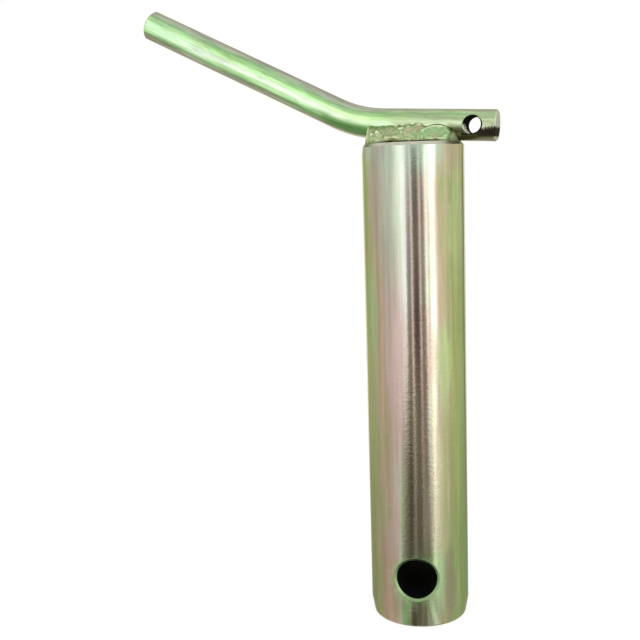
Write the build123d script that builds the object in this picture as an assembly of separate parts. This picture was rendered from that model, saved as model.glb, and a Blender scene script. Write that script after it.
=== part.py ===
"""Top link pin: a turned bar with a bent rod handle welded across its head.

The pin stands on its flat lower end. The origin is the centre of that end, +Z runs up the shank's
axis, and the handle lies in the XZ plane: its short drilled end points along +X and its long arm
rises towards -X. All sizes are in millimetres.
"""

import os
from math import cos, radians, sin, tan

from build123d import *

# Shank: a turned bar.
shank_diameter = 31.75
shank_length = 152.0
head_chamfer = 1.0
lead_in_height = 5.0
lead_in_depth = 0.85
end_edge_radius = 0.5

# Ground corner: where the weld starts, the head's edge and the bead's end are ground back at a slant.
ground_corner_turn = 194.7
ground_corner_slant = 10.5
ground_corner_height = 5.0

# Linch-pin hole: through the shank near its lower end, turned a little from the handle's plane.
linch_hole_diameter = 12.7
linch_hole_height = 16.0
linch_hole_turn = 11.0
linch_hole_deburr = 0.8

# Handle rod: one round bar with one bend, seated on the head a little out of square.
rod_diameter = 9.5
rod_short_reach = 26.2
rod_seat_reach = 9.5
rod_bend_radius = 40.0
rod_bend_angle = 23.0
rod_arm_length = 72.5
rod_end_chamfer = 0.45
rod_lean = 3.5
rod_seat_clearance = 0.05

# Keeper hole: through the rod's short end, for a ring or chain.
keeper_hole_diameter = 5.2
keeper_hole_inset = 6.95
keeper_hole_tilt = -1.5
keeper_countersink_width = 0.6

# Weld: one rippled fillet bead on each side of the rod, ending in a smooth crater.
bead_size = 5.0
bead_bite = 0.6
bead_sink = 0.4
bead_root_gap = 0.8
bead_ripple_pitch = 4.0
bead_ripple_rise = 0.35
crater_size = 6.1
crater_inset = 6.0

# Worked out from the sizes above.
shank_radius = shank_diameter / 2
head_flat_radius = shank_radius - head_chamfer
rod_radius = rod_diameter / 2
lean = radians(rod_lean)

# The rod's directions on its seat: along runs from the short end to the arm, lift is its upward side.
along = Vector(-cos(lean), 0, sin(lean))
lift = Vector(sin(lean), 0, cos(lean))


def underside_height(x):
    """Height of the rod's straight underside above the head at a place along X."""
    return (head_flat_radius - x) * tan(lean) + rod_seat_clearance


# The rod's centre line where it passes over the pin's axis.
seat_centre = Vector(0, 0, shank_length + underside_height(0)) + lift * rod_radius
short_end = seat_centre - along * rod_short_reach


def ground_corner():
    """Block of what the grinder took off, outside the slanted flat."""
    turn, slant = radians(ground_corner_turn), radians(ground_corner_slant)
    outward = Vector(cos(turn) * cos(slant), sin(turn) * cos(slant), sin(slant))
    start = Vector(shank_radius * cos(turn), shank_radius * sin(turn), shank_length - ground_corner_height)
    side = 2 * shank_diameter
    return Plane(origin=start, z_dir=outward) * Pos(0, 0, side / 2) * Box(side, side, side)


def hole_cutter(centre, direction, diameter, length):
    """Round cutter of a given length, centred on a point."""
    return Plane(origin=centre, z_dir=direction) * Cylinder(diameter / 2, length)


def build_shank():
    """Turned bar with a lead-in taper below, a broken head edge, a ground corner and the linch-pin hole."""
    end_radius = shank_radius - lead_in_depth
    profile = Plane.XZ * make_face(
        Polyline(
            (0, 0),
            (end_radius, 0),
            (shank_radius, lead_in_height),
            (shank_radius, shank_length - head_chamfer),
            (head_flat_radius, shank_length),
            (0, shank_length),
            close=True,
        )
    )
    bar = revolve(profile, axis=Axis.Z)
    bar = fillet(bar.edges().filter_by(GeomType.CIRCLE).sort_by(Axis.Z)[0], end_edge_radius)
    bar -= ground_corner()
    turn = radians(linch_hole_turn)
    across = Vector(sin(turn), -cos(turn), 0)
    centre = Vector(0, 0, linch_hole_height)
    bar -= hole_cutter(centre, across, linch_hole_diameter, shank_diameter * 2)
    bore = bar.faces().filter_by(GeomType.CYLINDER).sort_by(SortBy.RADIUS)[0]
    return chamfer(bore.edges().filter_by(GeomType.CIRCLE, reverse=True), linch_hole_deburr)


def build_handle_rod():
    """Bent round bar on its seat, with chamfered ends and the keeper hole."""
    bend_angle = radians(rod_bend_angle)

    def on_bend(angle):
        return bend_start + along * rod_bend_radius * sin(angle) + lift * rod_bend_radius * (1 - cos(angle))

    bend_start = seat_centre + along * rod_seat_reach
    bend_end = on_bend(bend_angle)
    arm_direction = along * cos(bend_angle) + lift * sin(bend_angle)
    path = Wire(
        [
            Line(short_end, bend_start).edge(),
            ThreePointArc(bend_start, on_bend(bend_angle / 2), bend_end).edge(),
            Line(bend_end, bend_end + arm_direction * rod_arm_length).edge(),
        ]
    )
    rod = sweep(Plane(origin=short_end, z_dir=along) * Circle(rod_radius), path=path)
    rod = chamfer(rod.faces().filter_by(GeomType.PLANE).edges(), rod_end_chamfer)

    centre = short_end + along * keeper_hole_inset
    tilt = radians(keeper_hole_tilt)
    across = Vector(0, cos(tilt), 0) + lift * sin(tilt)
    rod -= hole_cutter(centre, across, keeper_hole_diameter, rod_diameter * 2)
    for side in (1, -1):
        mouth = Plane(origin=centre + across * side * rod_radius, z_dir=across * side)
        rod -= mouth * Cone(
            keeper_hole_diameter / 2 - keeper_countersink_width,
            keeper_hole_diameter / 2 + 3 * keeper_countersink_width,
            4 * keeper_countersink_width,
        )
    return rod


def build_weld_bead(side, rod):
    """Fillet bead on one side of the rod: overlapping ripples, then a larger smooth crater.

    It fills the corner between the rod and the head, and stops flush with the head's flat.
    """
    offset = rod_radius - bead_bite
    crater_x = head_flat_radius - crater_inset
    lumps = Pos(crater_x, side * offset, shank_length - 2 * bead_sink) * Sphere(crater_size)
    ripples = int((crater_x + head_flat_radius) / bead_ripple_pitch)
    for count in range(1, ripples + 1):
        x = crater_x - count * bead_ripple_pitch
        rise = underside_height(x) / 2
        radius = bead_size + rise + bead_ripple_rise * (count % 2)
        lumps += Pos(x, side * offset, shank_length + rise - bead_sink) * Sphere(radius)
    height = 2 * rod_diameter
    allowed = Pos(0, 0, shank_length + height / 2) * Cylinder(head_flat_radius, height)
    half = Box(shank_diameter, shank_diameter, height)
    half_centre = side * (shank_diameter + bead_root_gap) / 2
    allowed &= Pos(0, half_centre, shank_length + height / 2) * half
    return (lumps & allowed) - rod - ground_corner()


handle_rod = build_handle_rod()
pieces = {
    "shank": build_shank(),
    "handle_rod": handle_rod,
    "weld_bead_front": build_weld_bead(-1, handle_rod),
    "weld_bead_back": build_weld_bead(1, handle_rod),
}

os.makedirs("parts", exist_ok=True)
for name, shape in pieces.items():
    export_step(shape, f"parts/{name}.step")
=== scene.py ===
"""Looks of the top link pin: zinc passivate on the bar and rod, the fillet weld, and the studio.

Everything is in metres, in the frame of the solids: the pin stands on its flat end at the origin,
+Z runs up the shank's axis, and the handle lies in the XZ plane.
"""

import logging
import math
from collections.abc import Callable
from dataclasses import dataclass
from enum import Enum
from functools import partial, reduce

import bpy
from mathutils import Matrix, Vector


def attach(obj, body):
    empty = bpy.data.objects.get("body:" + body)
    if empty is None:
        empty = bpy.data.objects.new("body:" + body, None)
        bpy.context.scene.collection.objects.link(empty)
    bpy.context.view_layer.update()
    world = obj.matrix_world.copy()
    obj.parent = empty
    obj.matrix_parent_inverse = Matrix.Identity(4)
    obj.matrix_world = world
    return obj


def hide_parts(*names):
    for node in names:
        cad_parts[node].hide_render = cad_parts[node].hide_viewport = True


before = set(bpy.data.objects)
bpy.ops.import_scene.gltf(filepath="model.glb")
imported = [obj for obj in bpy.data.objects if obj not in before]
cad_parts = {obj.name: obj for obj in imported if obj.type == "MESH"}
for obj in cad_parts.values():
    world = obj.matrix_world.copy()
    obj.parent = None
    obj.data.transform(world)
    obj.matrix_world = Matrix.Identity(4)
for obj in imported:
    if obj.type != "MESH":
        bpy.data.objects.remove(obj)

LOG = logging.getLogger("top_link_pin")
MM = 0.001
HALF_TURN = 180.0
FULL_TURN = 360.0
STUDIO_FRONT = -75.3

Triple = tuple[float, float, float]
Colour = Triple
Socket = bpy.types.NodeSocket


class Tint(Enum):
    """Interference colours that a passivate film takes on bright zinc, a bare umber finish, and a near black that
    is painted shade inside the holes.
    """

    STRAW = (0.37, 0.42, 0.19)
    TAN = (0.46, 0.38, 0.24)
    ROSE = (0.50, 0.38, 0.31)
    PEWTER = (0.46, 0.45, 0.35)
    CREAM = (0.56, 0.56, 0.44)
    MINT = (0.45, 0.60, 0.44)
    LIME = (0.37, 0.62, 0.26)
    LEAF = (0.31, 0.53, 0.23)
    UMBER = (0.040, 0.034, 0.024)
    SCALE = (0.010, 0.011, 0.012)


class NodePad:
    """Places and links the nodes of one shader tree.

    Args:
        tree: The node tree to work in.
    """

    def __init__(self, tree: bpy.types.NodeTree) -> None:
        """Keeps the tree."""
        self.tree = tree

    def node(self, kind: str, **settings: object) -> bpy.types.Node:
        """Adds a node.

        Args:
            kind: The node's type name.
            settings: Attributes set on it.

        Returns:
            The new node.
        """
        made = self.tree.nodes.new(kind)
        for name, value in settings.items():
            setattr(made, name, value)
        return made

    def feed(self, socket: Socket, value: object) -> None:
        """Links a socket into an input, or sets the input to a plain value.

        Args:
            socket: The input.
            value: A socket, a number, or a tuple of numbers.
        """
        if isinstance(value, Socket):
            self.tree.links.new(value, socket)
        elif isinstance(value, (tuple, list)) and len(value) == 3 and socket.type == "RGBA":
            socket.default_value = (*value, 1.0)
        else:
            socket.default_value = value

    def math(self, operation: str, *values: object) -> Socket:
        """Adds a Math node.

        Args:
            operation: Its operation.
            values: Its inputs, as sockets or numbers.

        Returns:
            Its result.
        """
        made = self.node("ShaderNodeMath", operation=operation)
        for socket, value in zip(made.inputs, values):
            self.feed(socket, value)
        return made.outputs[0]

    def add(self, *parts: object) -> Socket:
        """Adds up sockets or numbers."""
        return reduce(partial(self.math, "ADD"), parts)

    def times(self, *parts: object) -> Socket:
        """Multiplies sockets or numbers."""
        return reduce(partial(self.math, "MULTIPLY"), parts)

    def less(self, first: object, second: object) -> Socket:
        """Takes the second number from the first."""
        return self.math("SUBTRACT", first, second)

    def length(self, first: object, second: object) -> Socket:
        """Gives the length of a step along two square directions."""
        return self.math("SQRT", self.add(self.times(first, first), self.times(second, second)))

    def turned(self, x: object, y: object, front: float) -> Socket:
        """Finds how far a place is turned round the pin's axis.

        Args:
            x: The place along X.
            y: The place along Y.
            front: The direction that counts as 0, in degrees.

        Returns:
            The angle, from -180 to 180 degrees.
        """
        angle = self.math("MULTIPLY_ADD", self.math("ARCTAN2", y, x), math.degrees(1.0), -front)
        return self.math("WRAP", angle, HALF_TURN, -HALF_TURN)

    def vector(self, operation: str, first: object, second: object) -> Socket:
        """Adds a Vector Math node that gives a number.

        Args:
            operation: Its operation.
            first: Its first vector, as a socket or a triple.
            second: Its second vector.

        Returns:
            The number.
        """
        made = self.node("ShaderNodeVectorMath", operation=operation)
        self.feed(made.inputs[0], first)
        self.feed(made.inputs[1], second)
        return made.outputs["Value"]

    def noise(
        self, place: object, scale: float, detail: float = 3.0, rough: float = 0.5, bend: float = 0.0
    ) -> Socket:
        """Adds a noise texture.

        Args:
            place: The coordinate that it reads.
            scale: Its scale.
            detail: Its octaves.
            rough: How strong the finer octaves are.
            bend: Its distortion.

        Returns:
            Its factor.
        """
        made = self.node("ShaderNodeTexNoise")
        self.feed(made.inputs["Vector"], place)
        made.inputs["Scale"].default_value = scale
        made.inputs["Detail"].default_value = detail
        made.inputs["Roughness"].default_value = rough
        made.inputs["Distortion"].default_value = bend
        return made.outputs["Fac"]

    def span(
        self, value: object, low: float, high: float, out_low: float = 0.0, out_high: float = 1.0
    ) -> Socket:
        """Maps a value smoothly from one range to another.

        Args:
            value: The value.
            low: Where the range starts.
            high: Where it ends.
            out_low: The result at low.
            out_high: The result at high.

        Returns:
            The result.
        """
        made = self.node("ShaderNodeMapRange", interpolation_type="SMOOTHSTEP")
        for socket, part in zip(made.inputs, (value, low, high, out_low, out_high)):
            self.feed(socket, part)
        return made.outputs[0]

    def ramp(self, value: object, stops: list[tuple[float, Colour]]) -> Socket:
        """Adds a colour ramp that goes straight from stop to stop.

        Args:
            value: The factor that it reads.
            stops: Places from 0 to 1 and their colours, in order.

        Returns:
            Its colour.
        """
        made = self.node("ShaderNodeValToRGB")
        made.color_ramp.interpolation = "LINEAR"
        elements = made.color_ramp.elements
        elements[0].position, elements[1].position = stops[0][0], stops[-1][0]
        elements[0].color, elements[1].color = (*stops[0][1], 1.0), (*stops[-1][1], 1.0)
        for place, colour in stops[1:-1]:
            elements.new(place).color = (*colour, 1.0)
        self.feed(made.inputs[0], value)
        return made.outputs[0]

    def curve(self, value: object, points: list[tuple[float, float]]) -> Socket:
        """Adds a smooth curve through points, both of whose axes run from 0 to 1.

        Args:
            value: The value that it reads.
            points: The points, in order.

        Returns:
            The curve's height at the value.
        """
        made = self.node("ShaderNodeFloatCurve")
        line = made.mapping.curves[0]
        line.points[0].location, line.points[1].location = points[0], points[-1]
        for place, height in points[1:-1]:
            line.points.new(place, height)
        made.mapping.update()
        self.feed(made.inputs["Value"], value)
        return made.outputs[0]

    def split(self, value: object) -> list[Socket]:
        """Takes a vector apart.

        Args:
            value: The vector.

        Returns:
            Its X, Y and Z.
        """
        made = self.node("ShaderNodeSeparateXYZ")
        self.feed(made.inputs[0], value)
        return list(made.outputs)

    def join(self, *parts: object) -> Socket:
        """Makes a vector.

        Args:
            parts: Its X, Y and Z.

        Returns:
            The vector.
        """
        made = self.node("ShaderNodeCombineXYZ")
        for socket, part in zip(made.inputs, parts):
            self.feed(socket, part)
        return made.outputs[0]

    def place(self) -> Socket:
        """Gives the place on the pin, in metres."""
        return self.node("ShaderNodeTexCoord").outputs["Object"]

    def bump(self, height: object, depth: float) -> Socket:
        """Adds a bump.

        Args:
            height: How high the surface is, from 0 to 1.
            depth: How far 1 stands above 0, in metres.

        Returns:
            The bumped normal.
        """
        made = self.node("ShaderNodeBump")
        made.inputs["Distance"].default_value = depth
        self.feed(made.inputs["Height"], height)
        return made.outputs[0]

    def blend(self, share: object, first: object, second: object, mode: str = "MIX") -> Socket:
        """Mixes two colours.

        Args:
            share: How much of the second colour shows.
            first: The colour below.
            second: The colour above.
            mode: How they mix.

        Returns:
            The mixed colour.
        """
        made = self.node("ShaderNodeMix", data_type="RGBA", blend_type=mode)
        self.feed(made.inputs[0], share)
        self.feed(made.inputs[6], first)
        self.feed(made.inputs[7], second)
        return made.outputs[2]

    def shade(self, colour: object, level: object) -> Socket:
        """Makes a colour lighter or darker by one factor."""
        return self.blend(1.0, colour, self.join(level, level, level), "MULTIPLY")


class Effect:
    """A shader node group that several finishes place, built once.

    Args:
        name: The group's name.
        inputs: Its inputs' names and default values, a number or a triple.
        outputs: Its outputs' names and socket types.
    """

    def __init__(self, name: str, inputs: dict[str, object], outputs: dict[str, str]) -> None:
        """Makes the group with its sockets, as the class says."""
        self.tree = bpy.data.node_groups.new(name, "ShaderNodeTree")
        for title, value in inputs.items():
            kind = "NodeSocketVector" if isinstance(value, tuple) else "NodeSocketFloat"
            made = self.tree.interface.new_socket(title, in_out="INPUT", socket_type=kind)
            made.default_value = value
        for title, kind in outputs.items():
            self.tree.interface.new_socket(title, in_out="OUTPUT", socket_type=kind)
        self.pad = NodePad(self.tree)
        self.given = self.pad.node("NodeGroupInput").outputs
        self.result = self.pad.node("NodeGroupOutput").inputs

    def use(self, pad: NodePad, **values: object) -> bpy.types.bpy_prop_collection:
        """Places the group in a material.

        Args:
            pad: The material's node pad.
            values: What its inputs take, by name.

        Returns:
            Its outputs.
        """
        made = pad.node("ShaderNodeGroup", node_tree=self.tree)
        for title, value in values.items():
            pad.feed(made.inputs[title], value)
        return made.outputs


class Effects:
    """The shared effects: passivate film, lathe marks, shop wear, and the patch that stains and painted light use.
    """

    def __init__(self) -> None:
        """Builds every group."""
        self.film = self.build_film()
        self.lathe = self.build_lathe()
        self.wear = self.build_wear()
        self.stain_or_light = self.build_stain_or_light()

    def build_film(self) -> Effect:
        """Builds the passivate film, whose colour follows its depth and runs in drained streaks.

        Returns:
            The group.
        """
        made = Effect(
            "passivate_film",
            {"Drawn": (0.0, 0.0, 0.0), "Place": (0.0, 0.0, 0.0), "Depth": 0.3, "Drift": 0.3},
            {"Color": "NodeSocketColor", "Streak": "NodeSocketFloat"},
        )
        pad, given = made.pad, made.given
        broad = pad.less(pad.noise(given["Drawn"], 95.0, 2.0, 0.5, 0.3), 0.5)
        streak = pad.less(pad.noise(given["Drawn"], 560.0, 4.0, 0.65), 0.5)
        patch = pad.less(pad.noise(given["Place"], 75.0, 2.0, 0.5, 0.4), 0.5)
        drift = pad.times(pad.add(broad, pad.times(streak, 1.1), patch), given["Drift"])
        film = pad.add(given["Depth"], drift)
        colour = pad.ramp(
            film,
            [
                (0.02, Tint.STRAW.value),
                (0.22, Tint.TAN.value),
                (0.42, Tint.ROSE.value),
                (0.58, Tint.PEWTER.value),
                (0.72, Tint.CREAM.value),
                (0.88, Tint.MINT.value),
                (1.00, Tint.LIME.value),
            ],
        )
        pad.feed(made.result["Color"], colour)
        pad.feed(made.result["Streak"], pad.add(streak, 0.5))
        return made

    def stretch(self, pad: NodePad, place: tuple[object, ...], across: float, up: float) -> Socket:
        """Scales a place by one number across the axis and another along it.

        Args:
            pad: The group's node pad.
            place: X, Y and Z.
            across: The scale of X and Y.
            up: The scale of Z.

        Returns:
            The scaled place.
        """
        return pad.join(*(pad.times(part, scale) for part, scale in zip(place, (across, across, up))))

    def build_lathe(self) -> Effect:
        """Builds lathe marks: fine rings with broken arcs that stand out here and there.

        Returns:
            The group.
        """
        made = Effect(
            "lathe_marks",
            {"Place": (0.0, 0.0, 0.0), "Depth": 1.0},
            {"Height": "NodeSocketFloat", "Ticks": "NodeSocketFloat"},
        )
        pad, given = made.pad, made.given
        place = pad.split(given["Place"])
        rings = pad.noise(self.stretch(pad, place, 6.0, 1100.0), 1.0, 3.0, 0.6)
        chatter = pad.noise(self.stretch(pad, place, 640.0, 1400.0), 1.0, 2.0, 0.5)
        arcs = pad.noise(self.stretch(pad, place, 230.0, 2300.0), 1.0, 2.0, 0.5)
        ticks = pad.span(arcs, 0.62, 0.76)
        height = pad.add(pad.times(rings, 0.35), pad.times(chatter, 1.5), pad.times(ticks, 0.15))
        pad.feed(made.result["Height"], pad.times(height, given["Depth"]))
        pad.feed(made.result["Ticks"], pad.times(ticks, given["Depth"]))
        return made

    def build_wear(self) -> Effect:
        """Builds shop wear: small nicks and specks, and cloudy handling marks.

        Returns:
            The group.
        """
        made = Effect(
            "shop_wear",
            {"Place": (0.0, 0.0, 0.0)},
            {"Clouds": "NodeSocketFloat", "Height": "NodeSocketFloat"},
        )
        pad, given = made.pad, made.given
        specks = pad.span(pad.noise(given["Place"], 1400.0, 2.0, 0.5), 0.70, 0.78)
        clouds = pad.noise(given["Place"], 160.0, 4.0, 0.55, 0.6)
        pad.feed(made.result["Clouds"], clouds)
        pad.feed(made.result["Height"], pad.add(clouds, pad.times(specks, -0.5)))
        return made

    def build_stain_or_light(self) -> Effect:
        """Builds the patch that stains and painted light use: a soft patch at a place, with a ragged edge.

        Returns:
            The group.
        """
        made = Effect(
            "stain_or_light",
            {
                "Around": 0.0,
                "Along": 0.0,
                "Turn": 0.0,
                "Rise": 0.0,
                "Half Turn": 10.0,
                "Half Rise": 0.01,
                "Ragged": 0.5,
                "Soft": 0.3,
            },
            {"Mask": "NodeSocketFloat"},
        )
        pad, given = made.pad, made.given
        across = pad.math("DIVIDE", pad.less(given["Around"], given["Turn"]), given["Half Turn"])
        up = pad.math("DIVIDE", pad.less(given["Along"], given["Rise"]), given["Half Rise"])
        reach = pad.length(across, up)
        torn = pad.times(pad.less(given["Ragged"], 0.5), 0.9)
        inner, outer = pad.less(1.0, given["Soft"]), pad.add(1.0, given["Soft"])
        pad.feed(made.result["Mask"], pad.span(pad.add(reach, torn), inner, outer, 1.0, 0.0))
        return made


@dataclass(frozen=True)
class StainOrPaintedLight:
    """A patch placed by its angle and its place along the piece: mostly another film colour, and in some entries
    painted shade, a painted highlight or a painted reflection.

    Angles are in degrees and lengths in metres. strength is how much of it shows in its middle, and
    soft is how wide its edge is, as a share of its half size.
    """

    tint: Colour
    turn: float
    rise: float
    half_turn: float
    half_rise: float
    strength: float = 1.0
    soft: float = 0.4


@dataclass(frozen=True)
class GroundCorner:
    """The plane that the grinder left where the weld starts, in the caller's unit of length.

    radius and height are those of a point on it, turn is where it faces round the pin's axis, and
    slant is how far it leans back, in degrees.
    """

    radius: float
    height: float
    turn: float = 194.7
    slant: float = 10.5

    @property
    def outward(self) -> Vector:
        """Gives the direction that it faces."""
        turn, slant = math.radians(self.turn), math.radians(self.slant)
        return Vector((math.cos(turn) * math.cos(slant), math.sin(turn) * math.cos(slant), math.sin(slant)))

    @property
    def point(self) -> Vector:
        """Gives the point on it."""
        turn = math.radians(self.turn)
        return Vector((self.radius * math.cos(turn), self.radius * math.sin(turn), self.height))


@dataclass(frozen=True)
class ZincPassivate:
    """Bright zinc plate under a passivate film, the finish of every piece of the pin."""

    effects: Effects
    roughness: float = 0.09
    edge_tint: Colour = (0.62, 0.60, 0.50)

    def blank(self, name: str) -> tuple[bpy.types.Material, NodePad, bpy.types.Node]:
        """Makes a bare metal material.

        Args:
            name: The material's name.

        Returns:
            The material, its node pad and its shader.
        """
        made = bpy.data.materials.new(name)
        made.use_nodes = True
        shader = made.node_tree.nodes["Principled BSDF"]
        shader.inputs["Metallic"].default_value = 1.0
        shader.inputs["Specular Tint"].default_value = (*self.edge_tint, 1.0)
        return made, NodePad(made.node_tree), shader

    def lay_stains_and_painted_light(
        self, pad: NodePad, colour: object, around: object, along: object, ragged: object, stains_and_painted_light: tuple[StainOrPaintedLight, ...]
    ) -> Socket:
        """Lays stains and painted light over a colour.

        Args:
            pad: The material's node pad.
            colour: The colour below.
            around: The angle round the piece, in degrees.
            along: The place along the piece, in metres.
            ragged: Noise for the stains' edges.
            stains_and_painted_light: The patches, stains and painted light alike.

        Returns:
            The stained colour.
        """
        for stain_or_light in stains_and_painted_light:
            mask = self.effects.stain_or_light.use(
                pad,
                **{
                    "Around": around,
                    "Along": along,
                    "Turn": stain_or_light.turn,
                    "Rise": stain_or_light.rise,
                    "Half Turn": stain_or_light.half_turn,
                    "Half Rise": stain_or_light.half_rise,
                    "Ragged": ragged,
                    "Soft": stain_or_light.soft,
                },
            )["Mask"]
            colour = pad.blend(pad.times(mask, stain_or_light.strength), colour, stain_or_light.tint)
        return colour


@dataclass(frozen=True)
class ShankZinc(ZincPassivate):
    """The shank's finish: film streaks down the bar and lathe rings round it, with painted shade in the dark
    linch-pin bore and towards the foot, and a few painted highlights and a painted dark reflection among its
    patches.

    Lengths are metres and angles are degrees. front is where the stains' angles count from.
    """

    front: float = STUDIO_FRONT
    bore_turn: float = 11.0
    bore_height: float = 0.016
    bore_radius: float = 0.00635
    head_edge: float = 0.151
    corner: GroundCorner = GroundCorner(0.015875, 0.147)
    stains_and_painted_light: tuple[StainOrPaintedLight, ...] = (
        StainOrPaintedLight((0.45, 0.56, 0.43), -14.0, 0.153, 58.0, 0.011, 0.85),
        StainOrPaintedLight((0.33, 0.38, 0.29), -30.0, 0.136, 12.0, 0.024, 0.8, 0.6),
        StainOrPaintedLight((0.38, 0.32, 0.26), -45.0, 0.142, 9.0, 0.020, 0.6, 0.6),
        StainOrPaintedLight((0.26, 0.29, 0.12), 42.0, 0.092, 4.5, 0.062, 0.5, 0.4),
        StainOrPaintedLight((0.36, 0.34, 0.28), -28.0, 0.106, 9.0, 0.018, 0.6, 0.6),
        # Painted highlight: a light grey patch where the reflected highlight sits.
        StainOrPaintedLight((0.55, 0.57, 0.51), -12.0, 0.120, 7.0, 0.050, 0.7, 0.6),
        StainOrPaintedLight((0.47, 0.54, 0.38), -19.0, 0.128, 6.0, 0.016, 0.5, 0.8),
        StainOrPaintedLight((0.48, 0.40, 0.31), -52.0, 0.136, 8.0, 0.010, 0.7),
        StainOrPaintedLight((0.50, 0.41, 0.27), 50.0, 0.149, 16.0, 0.009, 0.8),
        StainOrPaintedLight((0.47, 0.55, 0.29), 56.0, 0.128, 14.0, 0.016, 0.7),
        StainOrPaintedLight((0.34, 0.46, 0.21), -60.0, 0.102, 12.0, 0.013, 0.7),
        StainOrPaintedLight((0.58, 0.40, 0.25), -41.0, 0.080, 1.8, 0.034, 0.7, 0.6),
        StainOrPaintedLight((0.54, 0.38, 0.35), -22.0, 0.086, 13.0, 0.020, 0.7, 0.8),
        StainOrPaintedLight((0.46, 0.31, 0.26), 6.0, 0.088, 14.0, 0.016, 0.6),
        StainOrPaintedLight((0.42, 0.53, 0.24), 33.0, 0.084, 8.0, 0.014, 0.75),
        StainOrPaintedLight((0.36, 0.48, 0.24), 57.0, 0.060, 10.0, 0.022, 0.6),
        StainOrPaintedLight((0.38, 0.48, 0.28), -17.0, 0.036, 5.0, 0.017, 0.75),
        StainOrPaintedLight((0.33, 0.45, 0.20), 58.0, 0.014, 24.0, 0.030, 0.75),
        StainOrPaintedLight((0.44, 0.37, 0.22), -2.0, 0.040, 13.0, 0.044, 0.65, 0.5),
        StainOrPaintedLight((0.56, 0.50, 0.32), 19.0, 0.038, 6.0, 0.042, 0.6, 0.5),
        StainOrPaintedLight((0.54, 0.55, 0.28), 31.0, 0.040, 7.0, 0.030, 0.6, 0.5),
        StainOrPaintedLight((0.48, 0.57, 0.17), 52.0, 0.066, 9.0, 0.060, 0.6, 0.9),
        StainOrPaintedLight((0.34, 0.53, 0.22), 68.0, 0.050, 8.0, 0.060, 0.5, 0.8),
        StainOrPaintedLight((0.48, 0.48, 0.24), -73.0, 0.060, 9.0, 0.070, 0.6, 0.5),
        StainOrPaintedLight((0.30, 0.42, 0.20), 4.0, 0.013, 30.0, 0.014, 0.7),
        # Painted highlight: a bright green patch beside the bore, for the glints there.
        StainOrPaintedLight((0.48, 0.70, 0.37), 24.0, 0.016, 6.0, 0.009, 0.5, 0.8),
        StainOrPaintedLight((0.48, 0.33, 0.23), -42.0, 0.014, 9.0, 0.014, 0.7),
        StainOrPaintedLight((0.34, 0.29, 0.18), 37.0, 0.012, 8.0, 0.013, 0.6),
        # Painted reflection: these four dark patches at the foot continue the dark reflected band.
        StainOrPaintedLight((0.19, 0.36, 0.13), -17.0, 0.002, 5.5, 0.007, 0.75, 0.4),
        StainOrPaintedLight((0.17, 0.14, 0.07), -7.5, 0.002, 3.5, 0.0072, 0.8, 0.4),
        StainOrPaintedLight((0.38, 0.31, 0.19), 0.0, 0.003, 3.5, 0.0065, 0.6, 0.4),
        StainOrPaintedLight((0.20, 0.17, 0.08), 6.0, 0.002, 2.5, 0.007, 0.7, 0.4),
    )

    def make(self, name: str) -> bpy.types.Material:
        """Makes the material.

        Args:
            name: The material's name.

        Returns:
            The material.
        """
        made, pad, shader = self.blank(name)
        place = pad.place()
        x, y, z = pad.split(place)
        around = pad.turned(x, y, self.front)
        drawn = pad.join(x, y, pad.times(z, 0.05))
        depth = pad.curve(
            pad.math("MULTIPLY_ADD", around, 1.0 / FULL_TURN, 0.5),
            [
                (0.00, 0.20),
                (0.10, 0.35),
                (0.18, 0.12),
                (0.27, 0.01),
                (0.342, 0.06),
                (0.372, 0.20),
                (0.397, 0.31),
                (0.419, 0.42),
                (0.459, 0.50),
                (0.479, 0.46),
                (0.497, 0.41),
                (0.516, 0.42),
                (0.535, 0.52),
                (0.554, 0.60),
                (0.574, 0.20),
                (0.596, 0.09),
                (0.62, 0.03),
                (0.72, 0.01),
                (0.82, 0.14),
                (0.92, 0.38),
                (1.00, 0.20),
            ],
        )
        film = self.effects.film.use(pad, Drawn=drawn, Place=place, Depth=depth, Drift=0.45)
        wear = self.effects.wear.use(pad, Place=place)
        lathe = self.effects.lathe.use(pad, Place=place, Depth=pad.span(z, 0.12, 0.05, 0.3, 1.15))
        colour = self.lay_stains_and_painted_light(pad, film["Color"], around, z, wear["Clouds"], self.stains_and_painted_light)
        streaks = pad.span(film["Streak"], 0.25, 0.75, 0.86, 1.10)
        # Painted shade: the colour darkens towards the foot, to 0.8 at the floor, times the film streaks.
        colour = pad.shade(colour, pad.times(pad.span(z, 0.0, 0.11, 0.80, 1.0), streaks))
        colour = pad.blend(pad.times(lathe["Ticks"], 0.16), colour, Tint.CREAM.value)
        colour, dull = self.dull_edges(pad, colour, place, wear["Clouds"])
        colour, rim, inside = self.darken_bore(pad, colour, place)
        dull = pad.math("MAXIMUM", dull, rim)
        pad.feed(shader.inputs["Base Color"], colour)
        rough = pad.add(
            self.roughness,
            pad.times(pad.less(wear["Clouds"], 0.5), 0.06),
            pad.times(lathe["Ticks"], 0.08),
            pad.times(dull, 0.30),
            pad.times(inside, 0.9),
        )
        pad.feed(shader.inputs["Roughness"], rough)
        pad.feed(shader.inputs["Normal"], pad.bump(lathe["Height"], 0.000030))
        return made

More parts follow.
